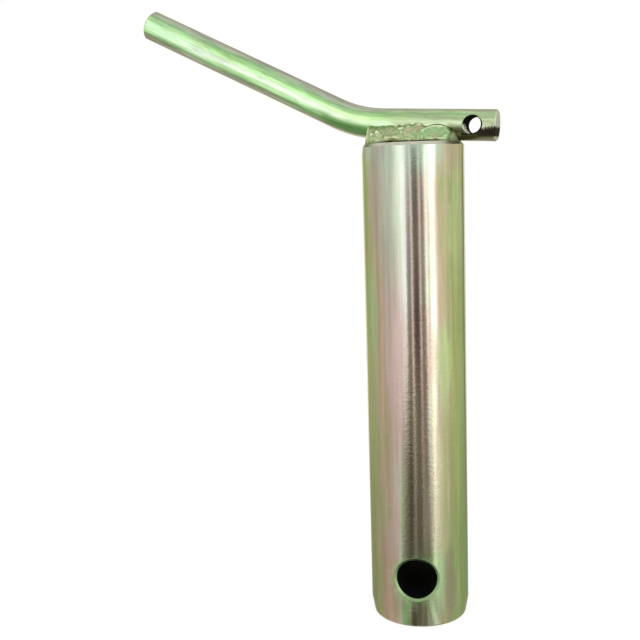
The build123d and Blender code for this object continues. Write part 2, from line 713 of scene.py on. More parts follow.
    def darken_bore(self, pad: NodePad, colour: object, place: object) -> tuple[Socket, Socket, Socket]:
        """Paints shade on the bore's wall, near black, and greens its deburred rim.

        Args:
            pad: The material's node pad.
            colour: The colour below.
            place: The place on the pin.

        Returns:
            The colour, 1 on the rim, and 1 inside the bore.
        """
        x, y, z = pad.split(place)
        turn = math.radians(self.bore_turn)
        side = pad.add(pad.times(x, math.cos(turn)), pad.times(y, math.sin(turn)))
        rise = pad.less(z, self.bore_height)
        off = pad.length(side, rise)
        inside = pad.span(off, self.bore_radius + 0.00005, self.bore_radius + 0.00012, 1.0, 0.0)
        rim = pad.span(off, self.bore_radius + 0.0006, self.bore_radius + 0.0014, 1.0, 0.0)
        spots = pad.noise(place, 900.0, 3.0, 0.65)
        drift = pad.noise(place, 260.0, 2.0, 0.5)
        reach = pad.add(off, pad.times(pad.less(drift, 0.5), 0.005))
        near = pad.span(reach, self.bore_radius + 0.0034, self.bore_radius + 0.0008)
        halo = pad.times(near, pad.span(spots, 0.38, 0.62, 0.0, 0.7))
        green = pad.blend(pad.span(drift, 0.4, 0.6), (0.31, 0.44, 0.21), (0.46, 0.56, 0.28))
        colour = pad.blend(halo, colour, green)
        ring = pad.times(rim, pad.span(drift, 0.35, 0.6, 0.45, 0.85))
        colour = pad.blend(ring, colour, (0.22, 0.35, 0.16))
        # Painted shade: the bore's wall near black.
        return pad.blend(inside, colour, Tint.SCALE.value), pad.less(rim, inside), inside

    def dull_edges(self, pad: NodePad, colour: object, place: object, mottle: object) -> tuple[Socket, Socket]:
        """Dulls the broken head edge and the ground corner, whose plate is thin and scratched.

        Args:
            pad: The material's node pad.
            colour: The colour below.
            place: The place on the pin.
            mottle: Noise for the ground face.

        Returns:
            The colour, and 1 where it is dull.
        """
        start = self.corner.outward.dot(self.corner.point)
        out = pad.vector("DOT_PRODUCT", place, tuple(self.corner.outward))
        ground = pad.span(out, start - 0.00012, start - 0.00005)
        edge = pad.span(pad.split(place)[2], self.head_edge - 0.0001, self.head_edge + 0.0002)
        dull = pad.math("MAXIMUM", ground, edge)
        shade = pad.blend(pad.span(mottle, 0.35, 0.65), (0.50, 0.50, 0.37), (0.60, 0.60, 0.49))
        return pad.blend(dull, colour, shade), dull


@dataclass(frozen=True)
class RodZinc(ZincPassivate):
    """The rod's finish: film streaks that follow its bend, with a painted highlight along its front, a painted dark
    reflection below it, and painted shade under the bend.

    seat is the centre line's point over the pin's axis, and keeper is the hole's centre in X and Z.
    short_end and arm_end are how far the two ends are along the rod from the bend's start. Lengths
    are metres and angles are degrees.
    """

    seat: Triple = (0.00029, 0.0, 0.15770)
    lean: float = 3.5
    bend_start: float = 0.0095
    bend_radius: float = 0.040
    bend_angle: float = 23.0
    keeper: tuple[float, float] = (0.01950, 0.15653)
    keeper_radius: float = 0.0026
    short_end: float = -0.0357
    arm_end: float = 0.0886
    stains_and_painted_light: tuple[StainOrPaintedLight, ...] = (
        # Painted shade: dark green on the lower front of the bend.
        StainOrPaintedLight((0.10, 0.24, 0.06), -35.0, 0.0070, 24.0, 0.0150, 0.85, 0.5),
        StainOrPaintedLight((0.09, 0.09, 0.04), -40.0, -0.0250, 36.0, 0.0052, 0.92, 0.35),
        StainOrPaintedLight((0.60, 0.88, 0.50), 44.0, 0.106, 34.0, 0.012, 0.75, 0.6),
        StainOrPaintedLight((0.43, 0.62, 0.30), 12.0, 0.007, 22.0, 0.011, 0.6, 0.5),
        StainOrPaintedLight((0.50, 0.80, 0.44), 6.0, 0.099, 34.0, 0.022, 0.8, 0.6),
        StainOrPaintedLight((0.40, 0.30, 0.22), -60.0, 0.098, 25.0, 0.012, 0.6),
    )

    def follow(self, pad: NodePad) -> tuple[Socket, Socket, Socket]:
        """Follows the rod's centre line.

        Args:
            pad: The material's node pad.

        Returns:
            The place along the rod from the bend's start, the angle round it, 0 at its front and 90 on
            top, and the vector of both sides and the place along.
        """
        x, y, z = pad.split(pad.place())
        lean, bend = math.radians(self.lean), math.radians(self.bend_angle)
        along, lift = (-math.cos(lean), math.sin(lean)), (math.sin(lean), math.cos(lean))
        start = (self.seat[0] + along[0] * self.bend_start, self.seat[2] + along[1] * self.bend_start)
        reach, rise = self.bend_radius * math.sin(bend), self.bend_radius * (1.0 - math.cos(bend))
        across, up = pad.less(x, start[0]), pad.less(z, start[1])
        u = pad.add(pad.times(across, along[0]), pad.times(up, along[1]))
        w = pad.add(pad.times(across, lift[0]), pad.times(up, lift[1]))
        drop = pad.less(self.bend_radius, w)
        on_bend_s = pad.times(pad.math("ARCTAN2", u, drop), self.bend_radius)
        on_bend_v = pad.less(self.bend_radius, pad.length(u, drop))
        u_arm, w_arm = pad.less(u, reach), pad.less(w, rise)
        arm_u = pad.add(pad.times(u_arm, math.cos(bend)), pad.times(w_arm, math.sin(bend)))
        arm_v = pad.add(pad.times(u_arm, -math.sin(bend)), pad.times(w_arm, math.cos(bend)))
        arm_s = pad.add(arm_u, self.bend_radius * bend)
        past_start = pad.math("GREATER_THAN", u, 0.0)
        past_bend = pad.math("GREATER_THAN", arm_u, 0.0)

        def choose(straight: object, curved: object, arm: object) -> Socket:
            """Picks the value of the run that the place is on."""
            first = pad.add(straight, pad.times(past_start, pad.less(curved, straight)))
            return pad.add(first, pad.times(past_bend, pad.less(arm, first)))

        s, v = choose(u, on_bend_s, arm_s), choose(w, on_bend_v, arm_v)
        forward = pad.times(y, -1.0)
        around = pad.times(pad.math("ARCTAN2", v, forward), math.degrees(1.0))
        return s, around, pad.join(v, y, s)

    def make(self, name: str) -> bpy.types.Material:
        """Makes the material.

        Args:
            name: The material's name.

        Returns:
            The material.
        """
        made, pad, shader = self.blank(name)
        s, around, place = self.follow(pad)
        v, y, _ = pad.split(place)
        drawn = pad.join(v, y, pad.times(s, 0.10))
        wander = pad.times(pad.less(pad.noise(drawn, 300.0, 4.0, 0.65), 0.5), 0.13)
        band = pad.add(pad.math("MULTIPLY_ADD", around, 1.0 / FULL_TURN, 0.5), wander)
        # Painted light in these stops: 0.365 to 0.412 are a painted dark reflection along the lower front, and 0.43
        # to 0.476 a painted highlight just below the middle of the front.
        arm = pad.ramp(
            band,
            [
                (0.00, Tint.LEAF.value),
                (0.08, Tint.LIME.value),
                (0.16, Tint.TAN.value),
                (0.25, Tint.STRAW.value),
                (0.33, (0.44, 0.43, 0.35)),
                (0.365, (0.33, 0.36, 0.23)),
                (0.385, (0.25, 0.33, 0.16)),
                (0.412, (0.20, 0.37, 0.13)),
                (0.43, (0.46, 0.84, 0.34)),
                (0.45, (0.63, 0.97, 0.51)),
                (0.476, (0.80, 0.97, 0.71)),
                (0.501, (0.60, 0.72, 0.56)),
                (0.529, (0.40, 0.54, 0.32)),
                (0.556, (0.42, 0.71, 0.29)),
                (0.58, (0.40, 0.74, 0.29)),
                (0.611, (0.30, 0.48, 0.24)),
                (0.639, (0.41, 0.50, 0.34)),
                (0.672, (0.39, 0.41, 0.33)),
                (0.70, (0.43, 0.41, 0.35)),
                (0.76, Tint.TAN.value),
                (0.84, Tint.LIME.value),
                (0.92, Tint.MINT.value),
                (1.00, Tint.LEAF.value),
            ],
        )
        # Painted light in these stops: the dark stop at 0.41 is a painted dark reflection along the lower front.
        seat = pad.ramp(
            band,
            [
                (0.00, Tint.LEAF.value),
                (0.20, Tint.TAN.value),
                (0.36, (0.40, 0.38, 0.29)),
                (0.41, (0.17, 0.27, 0.11)),
                (0.46, (0.42, 0.50, 0.30)),
                (0.503, (0.36, 0.43, 0.26)),
                (0.529, (0.35, 0.41, 0.24)),
                (0.557, (0.38, 0.48, 0.24)),
                (0.593, (0.31, 0.49, 0.22)),
                (0.63, (0.39, 0.55, 0.28)),
                (0.672, (0.37, 0.43, 0.27)),
                (0.76, Tint.TAN.value),
                (0.90, Tint.MINT.value),
                (1.00, Tint.LEAF.value),
            ],
        )
        colour = pad.blend(pad.span(s, 0.002, -0.006), arm, seat)
        film = self.effects.film.use(pad, Drawn=drawn, Place=place, Depth=0.75, Drift=1.2)
        colour = pad.blend(pad.span(film["Streak"], 0.42, 0.66, 0.05, 0.36), colour, film["Color"])
        wear = self.effects.wear.use(pad, Place=place)
        colour = self.lay_stains_and_painted_light(pad, colour, around, s, wear["Clouds"], self.stains_and_painted_light)
        grain = pad.noise(drawn, 1300.0, 3.0, 0.65)
        streaks = pad.span(film["Streak"], 0.25, 0.75, 0.84, 1.10)
        colour = pad.shade(colour, pad.times(streaks, pad.span(grain, 0.3, 0.7, 0.80, 1.12)))
        short_cut = pad.span(s, self.short_end + 0.0004, self.short_end + 0.0001)
        cuts = pad.add(short_cut, pad.span(s, self.arm_end - 0.0005, self.arm_end - 0.0001))
        sawn = pad.blend(pad.span(wear["Clouds"], 0.35, 0.65), (0.50, 0.56, 0.42), (0.64, 0.66, 0.54))
        colour = pad.blend(cuts, colour, sawn)
        char = self.char_end(pad, place)
        colour = pad.blend(char, colour, Tint.UMBER.value)
        colour, mouth_highlight, inside = self.darken_keeper(pad, colour)
        pad.feed(shader.inputs["Base Color"], colour)
        rough = pad.add(
            self.roughness,
            pad.times(pad.less(wear["Clouds"], 0.5), 0.10),
            pad.times(mouth_highlight, -0.45),
            pad.times(inside, 0.9),
            pad.times(char, pad.span(s, self.short_end + 0.0007, self.short_end + 0.0003, 0.12, 0.9)),
        )
        pad.feed(shader.inputs["Roughness"], rough)
        pad.feed(shader.inputs["Normal"], pad.bump(pad.add(wear["Height"], film["Streak"], grain), 0.000016))
        return made

    def char_end(self, pad: NodePad, place: object) -> Socket:
        """Marks the scorched patch on the short end, which has a ragged top and wraps its end face.

        Args:
            pad: The material's node pad.
            place: Both sides and the place along the rod.

        Returns:
            1 on the patch.
        """
        v, y, s = pad.split(place)
        spikes = pad.less(pad.noise(pad.join(s, pad.times(v, 0.08), 0.0), 700.0, 5.0, 0.8), 0.5)
        top = pad.span(pad.math("MULTIPLY_ADD", spikes, 0.0075, v), -0.0001, -0.0013)
        tall = pad.times(top, pad.span(v, -0.0038, -0.0031))
        end_face = pad.span(s, self.short_end + 0.0007, self.short_end + 0.0003)
        front = pad.math("MAXIMUM", pad.span(y, 0.0005, -0.0005), end_face)
        return pad.times(tall, pad.times(front, pad.span(s, -0.0290, -0.0308)))

    def darken_keeper(self, pad: NodePad, colour: object) -> tuple[Socket, Socket, Socket]:
        """Paints shade on the keeper hole's wall and rim, near black, and a painted highlight on the lower left of
        its front mouth.

        Args:
            pad: The material's node pad.
            colour: The colour below.

        Returns:
            The colour, 1 on the painted highlight, and 1 inside the hole.
        """
        x, y, z = pad.split(pad.place())
        off = pad.vector("DISTANCE", pad.join(x, 0.0, z), (self.keeper[0], 0.0, self.keeper[1]))
        inside = pad.span(off, self.keeper_radius + 0.00045, self.keeper_radius + 0.0002, 0.0, 1.0)
        # Painted shade: the hole's wall and rim near black.
        colour = pad.blend(inside, colour, Tint.SCALE.value)
        # Painted highlight: the lit lower left of the front mouth, lighter and glossier.
        low = pad.span(z, self.keeper[1] + 0.0006, self.keeper[1] - 0.0004, 0.0, 1.0)
        left = pad.span(x, self.keeper[0] - 0.0004, self.keeper[0] - 0.0014, 0.0, 1.0)
        mouth = pad.span(y, 0.0006, -0.0014, 0.0, 1.0)
        mouth_highlight = pad.times(pad.times(low, left), pad.times(mouth, inside))
        return pad.blend(mouth_highlight, colour, (0.62, 0.62, 0.48)), mouth_highlight, inside


@dataclass(frozen=True)
class WeldZinc(ZincPassivate):
    """The weld's finish: blotched plated weld metal and a smooth crater, with painted highlights on its crests and
    the crater's rim, painted light on its right end, painted shade in its hollows, and a painted shadow along the
    seam under its toe.

    crater is its centre along X and its height, then its half sizes along each, in metres, and seam
    is the height of the head's top.
    """

    greenish: Colour = (0.30, 0.41, 0.19)
    tannish: Colour = (0.45, 0.47, 0.28)
    crater: tuple[float, float, float, float] = (0.0092, 0.1547, 0.0045, 0.0019)
    seam: float = 0.152

    def make(self, name: str) -> bpy.types.Material:
        """Makes the material.

        Args:
            name: The material's name.

        Returns:
            The material.
        """
        made, pad, shader = self.blank(name)
        place = pad.place()
        x, _, z = pad.split(place)
        crest = pad.node("ShaderNodeAttribute", attribute_name="crest").outputs["Fac"]
        wear = self.effects.wear.use(pad, Place=place)
        blotch = pad.noise(place, 420.0, 3.0, 0.6, 0.5)
        speckle = pad.noise(place, 1300.0, 3.0, 0.6)
        colour = pad.blend(pad.span(blotch, 0.36, 0.64), self.greenish, self.tannish)
        across = pad.times(pad.less(x, self.crater[0]), 1.0 / self.crater[2])
        up = pad.times(pad.less(z, self.crater[1]), 1.0 / self.crater[3])
        off = pad.length(across, up)
        smooth = pad.span(pad.add(off, pad.times(blotch, 0.3)), 1.30, 1.05)
        colour = pad.blend(pad.times(smooth, 0.8), colour, (0.32, 0.51, 0.23))
        # Painted light: the right end of the weld lightened, where it faces away from the light.
        colour = pad.blend(pad.span(across, 0.85, 1.10, 0.0, 0.8), colour, (0.80, 0.92, 0.55))
        drip = pad.times(pad.span(up, 0.0, -0.7), pad.span(pad.math("ABSOLUTE", across), 0.5, 0.1))
        colour = pad.blend(pad.times(drip, 0.7), colour, self.tannish)
        # Painted highlight: a bright arc on the crater's upper rim.
        crater_rim_highlight = pad.times(pad.span(off, 0.84, 0.97), pad.span(off, 1.10, 0.98))
        crater_rim_highlight = pad.times(crater_rim_highlight, pad.times(pad.span(up, 0.1, 0.5), pad.span(across, 0.95, 0.6)))
        colour = pad.blend(crater_rim_highlight, colour, (0.80, 0.97, 0.62))
        colour = pad.shade(colour, pad.span(speckle, 0.3, 0.7, 0.76, 1.18))
        # Painted highlight: cream on the crests above the toe, weaker in the crater.
        high = pad.times(pad.span(crest, 0.56, 0.72), pad.span(z, self.seam + 0.0004, self.seam + 0.0016))
        high = pad.times(high, pad.span(smooth, 0.1, 0.6, 1.0, 0.25))
        colour = pad.blend(high, colour, (0.70, 0.78, 0.55))
        # Painted shade: darker green in the hollows between the lumps.
        colour = pad.blend(pad.span(crest, 0.38, 0.22), colour, (0.22, 0.26, 0.14))
        # Painted shadow: an umber line in the crevice under the toe, weaker at both ends.
        seam = pad.span(pad.add(z, pad.times(blotch, 0.0006)), self.seam + 0.0010, self.seam + 0.0007)
        deep = pad.times(pad.span(x, -0.008, -0.005, 0.35, 0.92), pad.span(x, 0.007, 0.011, 1.0, 0.5))
        colour = pad.blend(pad.times(seam, deep), colour, Tint.UMBER.value)
        pad.feed(shader.inputs["Base Color"], colour)
        pad.feed(shader.inputs["Roughness"], pad.span(smooth, 0.0, 1.0, 0.46, 0.25))
        relief = pad.add(wear["Clouds"], pad.times(speckle, pad.span(smooth, 0.0, 1.0, 0.8, 0.1)))
        pad.feed(shader.inputs["Normal"], pad.bump(relief, 0.00006))
        return made


class Lay(Enum):
    """How a screen is set up round the pin."""

    STANDING = "standing"
    LYING = "lying"


@dataclass(frozen=True)
class GlowRow:
    """How a screen glows along one line round the pin.

    place is the line's height on a standing screen, and its distance from the pin's axis on one
    that lies on the floor, in metres. The glows follow the screen's turns.
    """

    place: float
    glows: tuple[float, ...]


@dataclass
class Screen:
    """Half a ring of paper round the pin's axis, which shows only in the pin's reflections.

    Its glows are uneven, because the bright and dark bands on bright metal are what it mirrors.
    turn is the middle of the half ring and turns are the places of its glows, from -90 to 90, in
    degrees. reach is its radius and level is how high it lies over the floor, in metres. peak is
    the glow that its colours are a share of.
    """

    name: str
    lay: Lay
    turn: float
    turns: tuple[float, ...]
    rows: tuple[GlowRow, ...]
    reach: float = 0.45
    level: float = 0.0005
    peak: float = 3.0
    segments: int = 144

    def glow_nodes(self, pad: NodePad, front: float) -> Socket:
        """Adds the nodes that blend its rows.

        Args:
            pad: The material's node pad.
            front: Where the studio's front is round the pin's axis, in degrees.

        Returns:
            The glow as a colour, as a share of the peak.
        """
        x, y, z = pad.split(pad.place())
        share = pad.math("MULTIPLY_ADD", pad.turned(x, y, front + self.turn), 1.0 / HALF_TURN, 0.5)
        place = z if self.lay is Lay.STANDING else pad.length(x, y)
        glow, below = None, None
        for row in self.rows:
            lit = zip(self.turns, row.glows)
            stops = [(turn / HALF_TURN + 0.5, (value / self.peak,) * 3) for turn, value in lit]
            line = pad.ramp(share, stops)
            glow = line if below is None else pad.blend(pad.span(place, below.place, row.place), glow, line)
            below = row
        return glow

    def place(self, front: float) -> bpy.types.Object:
        """Sets the screen up in the studio.

        Args:
            front: Where the studio's front is round the pin's axis, in degrees.

        Returns:
            The screen.
        """
        bpy.ops.object.select_all(action="DESELECT")
        if self.lay is Lay.STANDING:
            low, high = self.rows[0].place, self.rows[-1].place
            bpy.ops.mesh.primitive_cylinder_add(
                vertices=self.segments,
                radius=self.reach,
                depth=high - low,
                end_fill_type="NOTHING",
                location=(0.0, 0.0, (low + high) / 2),
            )
        else:
            bpy.ops.mesh.primitive_circle_add(
                vertices=self.segments, radius=self.reach, fill_type="NGON", location=(0.0, 0.0, self.level)
            )
        placed = bpy.context.object
        placed.name = self.name
        bpy.ops.object.transform_apply(location=True, rotation=True, scale=True)
        away = math.radians(front + self.turn + HALF_TURN)
        bpy.ops.object.mode_set(mode="EDIT")
        bpy.ops.mesh.select_all(action="SELECT")
        behind = (math.cos(away), math.sin(away), 0.0)
        bpy.ops.mesh.bisect(plane_co=(0.0, 0.0, 0.0), plane_no=behind, clear_outer=True)
        bpy.ops.object.mode_set(mode="OBJECT")
        made = bpy.data.materials.new(self.name)
        made.use_nodes = True
        pad = NodePad(made.node_tree)
        made.node_tree.nodes.remove(made.node_tree.nodes["Principled BSDF"])
        glow = pad.node("ShaderNodeEmission")
        glow.inputs["Strength"].default_value = self.peak
        pad.feed(glow.inputs["Color"], self.glow_nodes(pad, front))
        pad.feed(made.node_tree.nodes["Material Output"].inputs["Surface"], glow.outputs[0])
        placed.data.materials.append(made)
        placed.visible_camera = False
        placed.visible_diffuse = False
        placed.visible_transmission = False
        placed.visible_shadow = False
        return placed


# The glow where a standing screen meets the one on the floor, in front of the pin and behind it.
FRONT_FOOT = (0.85, 0.95, 1.08, 1.2, 1.3, 1.4, 1.4, 0.5, 0.38, 0.5, 1.75, 0.45, 0.16, 0.14, 0.4, 1.5, 0.5, 0.36,
              0.5, 1.3, 2.0, 1.45, 2.3, 2.6, 2.25, 1.8, 1.4, 1.25, 1.15)
BACK_FOOT = (0.85, 0.9, 0.6, 0.65, 1.2, 1.8, 0.5, 0.3, 1.2, 0.25, 0.2, 1.1, 0.4, 1.9, 2.2, 1.2, 0.85, 0.95, 0.85)


@dataclass
class Studio:
    """White floor and surround, paper screens for the reflections, a soft lamp and the camera.

    front is where its front is round the pin's axis, in degrees, eye is the camera's place in
    metres, aim its turns about X, Y and Z in degrees, and lens its focal length in millimetres.
    """

    front: float = STUDIO_FRONT
    eye: Triple = (0.0765, -0.2909, 0.1420)
    aim: Triple = (81.535, 1.829, 20.262)
    lens: float = 53.4375
    floor_half: float = 6.0
    front_turns: tuple[float, ...] = (
        -90, -64, -49, -40, -33, -26, -20, -16, -12, -9, -6, -3, 0, 6, 9.5, 12.5, 15.5, 18, 22, 25.5, 29,
        32, 35, 38, 43, 48, 53.5, 62, 90
    )
    front_rows: tuple[GlowRow, ...] = (
        GlowRow(0.003, FRONT_FOOT),
        GlowRow(0.044, (0.85, 1.0, 1.1, 1.2, 1.35, 1.55, 1.75, 0.5, 0.42, 0.5, 1.6, 0.5, 0.18, 0.16, 0.4, 1.45,
                        0.52, 0.42, 0.6, 1.7, 2.1, 1.4, 2.2, 2.6, 2.45, 1.85, 1.4, 1.25, 1.1)),
        GlowRow(0.089, (0.85, 1.1, 1.15, 1.2, 1.35, 1.6, 1.75, 0.62, 0.48, 0.55, 1.5, 0.65, 0.32, 0.28, 0.45,
                        1.25, 0.55, 0.46, 0.8, 2.1, 2.1, 1.5, 2.2, 2.5, 2.35, 1.85, 1.4, 1.25, 1.1)),
        GlowRow(0.119, (0.95, 1.25, 1.35, 1.4, 1.45, 1.75, 1.85, 0.95, 0.58, 0.75, 1.7, 0.5, 0.27, 0.25, 0.5,
                        1.55, 0.5, 0.36, 0.95, 2.2, 2.2, 1.5, 2.3, 2.6, 2.45, 1.9, 1.4, 1.25, 1.1)),
        GlowRow(0.150, (0.95, 1.25, 1.35, 1.5, 1.65, 1.8, 1.95, 1.2, 0.85, 1.25, 1.35, 0.5, 0.3, 0.35, 0.85,
                        1.2, 0.6, 0.7, 1.3, 2.4, 2.0, 1.7, 2.4, 2.6, 2.6, 2.2, 1.4, 1.2, 1.1)),
        GlowRow(0.161, (0.95, 1.15, 1.3, 1.5, 1.7, 1.75, 1.8, 1.4, 1.05, 1.4, 1.3, 0.8, 0.6, 0.65, 0.95, 1.1,
                        0.95, 1.0, 1.4, 2.2, 2.2, 2.2, 2.4, 2.6, 2.6, 2.2, 1.4, 1.2, 1.1)),
        GlowRow(0.175, (0.9, 1.0, 1.35, 1.6, 1.7, 1.8, 1.5, 1.1, 1.0, 1.0, 1.0, 1.0, 1.0, 1.0, 1.0, 1.0, 1.0,
                        1.0, 1.1, 1.5, 2.3, 2.4, 2.4, 2.5, 2.5, 2.2, 1.4, 1.2, 1.1)),
        GlowRow(0.29, (1.1, 1.2, 1.5, 1.7, 1.85, 1.9, 1.6, 1.1, 1.0, 1.0, 1.0, 1.0, 1.0, 1.0, 1.0, 1.0, 1.0,
                       1.0, 1.1, 1.5, 2.3, 2.4, 2.4, 2.4, 2.4, 2.0, 1.3, 1.2, 1.1)),
        GlowRow(0.67, (1.0, 1.0, 1.05, 1.1, 1.1, 1.1, 1.05, 1.0, 1.0, 1.0, 1.0, 1.0, 1.0, 1.0, 1.0, 1.0, 1.0,
                       1.0, 1.0, 1.0, 1.0, 1.0, 1.0, 1.0, 1.0, 1.0, 1.0, 1.0, 1.0)),
    )
    floor_rows: tuple[GlowRow, ...] = (
        GlowRow(0.02, (0.85, 0.88, 0.92, 0.95, 1.0, 1.1, 1.0, 0.8, 0.6, 0.42, 0.36, 0.3, 0.3, 0.6, 0.75, 0.78,
                       0.8, 1.35, 1.5, 1.1, 1.0, 1.0, 1.0, 1.0, 1.0, 0.95, 0.92, 0.9, 0.85)),
        GlowRow(0.065, (0.85, 0.88, 0.95, 1.1, 0.55, 0.32, 0.2, 0.22, 0.3, 0.42, 0.5, 0.34, 0.28, 0.3, 0.38,
                        0.45, 0.46, 0.47, 0.48, 0.62, 1.0, 1.6, 1.75, 1.45, 1.15, 1.0, 0.95, 0.9, 0.85)),
        GlowRow(0.114, (0.85, 0.9, 1.0, 1.08, 0.78, 0.44, 0.25, 0.13, 0.22, 0.4, 0.6, 0.33, 0.25, 0.26, 0.45,
                        0.6, 0.54, 0.6, 0.56, 0.62, 0.9, 1.05, 1.5, 1.75, 1.5, 1.22, 1.05, 0.95, 0.9)),
        GlowRow(0.19, (0.85, 0.9, 0.97, 1.1, 0.9, 0.58, 0.32, 0.2, 0.24, 0.44, 0.75, 0.42, 0.3, 0.28, 0.42,
                       0.75, 0.5, 0.38, 0.45, 0.72, 1.05, 1.2, 1.95, 2.4, 1.7, 1.35, 1.15, 1.0, 0.95)),
        GlowRow(0.30, (0.85, 0.9, 1.0, 1.15, 1.15, 1.05, 0.7, 0.35, 0.36, 0.5, 0.95, 0.5, 0.36, 0.3, 0.42, 0.9,
                       0.56, 0.44, 0.55, 1.0, 1.5, 1.35, 1.8, 2.2, 1.8, 1.45, 1.2, 1.1, 1.0)),
        GlowRow(0.45, FRONT_FOOT),
    )
    back_turns: tuple[float, ...] = (
        -90, -46, -38, -28, -24, -20, -14, -9, -5, -1, 3, 7, 11, 16, 26, 30, 44, 60, 90
    )
    back_rows: tuple[GlowRow, ...] = (
        GlowRow(0.003, BACK_FOOT),
        GlowRow(0.15, (0.9, 1.0, 0.65, 0.7, 1.3, 2.0, 0.6, 0.35, 1.3, 0.3, 0.25, 1.2, 0.5, 2.0, 2.4, 1.3, 0.9,
                       1.0, 0.9)),
        GlowRow(0.18, (1.0,) * 19),
        GlowRow(0.67, (1.0,) * 19),
    )
    back_floor_rows: tuple[GlowRow, ...] = (
        GlowRow(0.02, (0.8, 0.8, 0.7, 0.7, 0.9, 1.0, 0.5, 0.35, 0.5, 0.35, 0.35, 0.5, 0.5, 1.1, 1.1, 0.9, 0.8,
                       0.8, 0.8)),
        GlowRow(0.45, BACK_FOOT),
    )

    def light_path_white(self, pad: NodePad) -> Socket:
        """Adds the test for rays that show the background white.

        Args:
            pad: The tree's node pad.

        Returns:
            1 or more for camera, glossy and transmission rays, and 0 for the rest.
        """
        path = pad.node("ShaderNodeLightPath")
        return pad.add(*(path.outputs[f"Is {ray} Ray"] for ray in ("Camera", "Glossy", "Transmission")))

    def build_world(self) -> None:
        """Makes the white surround."""
        world = bpy.data.worlds.new("white_surround")
        bpy.context.scene.world = world
        world.use_nodes = True
        pad = NodePad(world.node_tree)
        background = world.node_tree.nodes["Background"]
        background.inputs["Color"].default_value = (1.0, 1.0, 1.0, 1.0)
        pad.feed(background.inputs["Strength"], pad.span(self.light_path_white(pad), 0.0, 1.0, 0.7, 1.0))

    def build_floor(self) -> None:
        """Lays the pale floor."""
        bpy.ops.object.select_all(action="DESELECT")
        bpy.ops.mesh.primitive_plane_add(size=2 * self.floor_half, location=(0, 0, 0))
        floor = bpy.context.object
        floor.name = "studio_floor"
        made = bpy.data.materials.new("studio_floor_white")
        made.use_nodes = True
        pad = NodePad(made.node_tree)
        shader = made.node_tree.nodes["Principled BSDF"]
        shader.inputs["Base Color"].default_value = (0.30, 0.30, 0.30, 1.0)
        shader.inputs["Roughness"].default_value = 0.9
        shader.inputs["Specular IOR Level"].default_value = 0.0
        shader.inputs["Emission Color"].default_value = (1.0, 1.0, 1.0, 1.0)
        pad.feed(shader.inputs["Emission Strength"], pad.span(self.light_path_white(pad), 0.0, 1.0, 0.0, 0.80))
        floor.data.materials.append(made)

    def build_screens(self) -> None:
        """Stands and lays the paper screens round the pin."""
        for screen in (
            Screen("screen_front", Lay.STANDING, 0.0, self.front_turns, self.front_rows),
            Screen("screen_front_floor", Lay.LYING, 0.0, self.front_turns, self.floor_rows),
            Screen("screen_back", Lay.STANDING, 180.0, self.back_turns, self.back_rows),
            Screen("screen_back_floor", Lay.LYING, 180.0, self.back_turns, self.back_floor_rows),
        ):
            screen.place(self.front)

    def build_lamps(self) -> None:
        """Hangs the soft lamp that lights the floor and tops."""
        lamp = bpy.data.lights.new("overhead_softbox", "AREA")
        lamp.shape = "RECTANGLE"
        lamp.size, lamp.size_y = 0.9, 0.6
        lamp.energy = 2.2
        hung = bpy.data.objects.new("overhead_softbox", lamp)
        hung.location = (0.05, -0.35, 1.0)
        hung.rotation_euler = (math.radians(20.0), 0.0, 0.0)
        hung.visible_camera = False
        hung.visible_glossy = False
        bpy.context.scene.collection.objects.link(hung)

    def build_camera(self) -> None:
        """Sets the camera."""
        data = bpy.data.cameras.new("camera")
        data.sensor_width = 36.0
        data.lens = self.lens
        camera = bpy.data.objects.new("camera", data)
        camera.location = self.eye
        camera.rotation_euler = tuple(math.radians(a) for a in self.aim)
        bpy.context.scene.collection.objects.link(camera)
        bpy.context.scene.camera = camera

    def build(self) -> None:
        """Builds the whole studio."""
        self.build_world()
        self.build_floor()
        self.build_screens()
        self.build_lamps()
        self.build_camera()
        bpy.context.scene.view_settings.view_transform = "Standard"


class Side(Enum):
    """The rod's two sides, by the sign of Y."""

    FRONT = -1
    BACK = 1


@dataclass(frozen=True)
class Lump:
    """A lump of weld metal, in millimetres.

    Its centre is so far along X, out from the rod's middle and over the head, and size is its half
    size each way.
    """

    along: float
    out: float
    rise: float
    size: Triple


